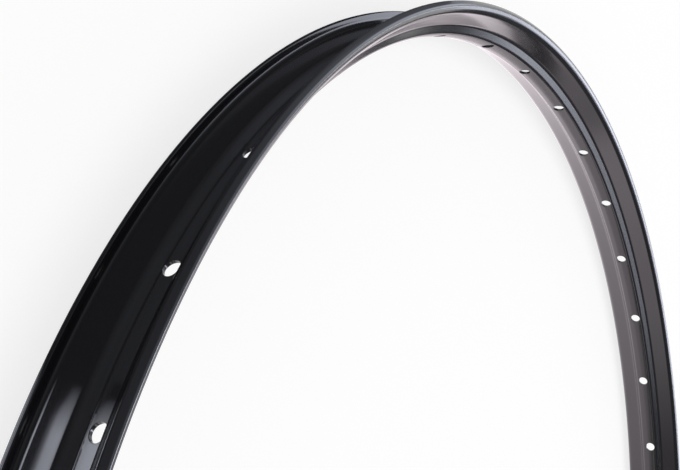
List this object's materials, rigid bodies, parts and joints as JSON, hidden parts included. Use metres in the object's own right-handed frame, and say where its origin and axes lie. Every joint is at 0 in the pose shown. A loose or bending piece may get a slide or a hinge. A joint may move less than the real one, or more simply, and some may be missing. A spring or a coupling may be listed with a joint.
{
  "type": "bicycle rim",
  "caption": "Single-wall bicycle rim: a thin hoop with a drop-centre bed, sloping shoulders and straight flanges, drilled along its bed for spokes and a valve.",
  "frame": {"origin": "centre of the hoop, on its axis and in its middle plane", "axes": "+Z along the hoop's axis, out of one side; -Y through the valve hole; +X completes the frame"},
  "size_m": [0.568, 0.568, 0.0338],
  "materials": {
    "gloss_black": "gloss black coating on aluminium"
  },
  "bodies": {
    "root": {"rim": "gloss_black"}
  },
  "joints": []
}
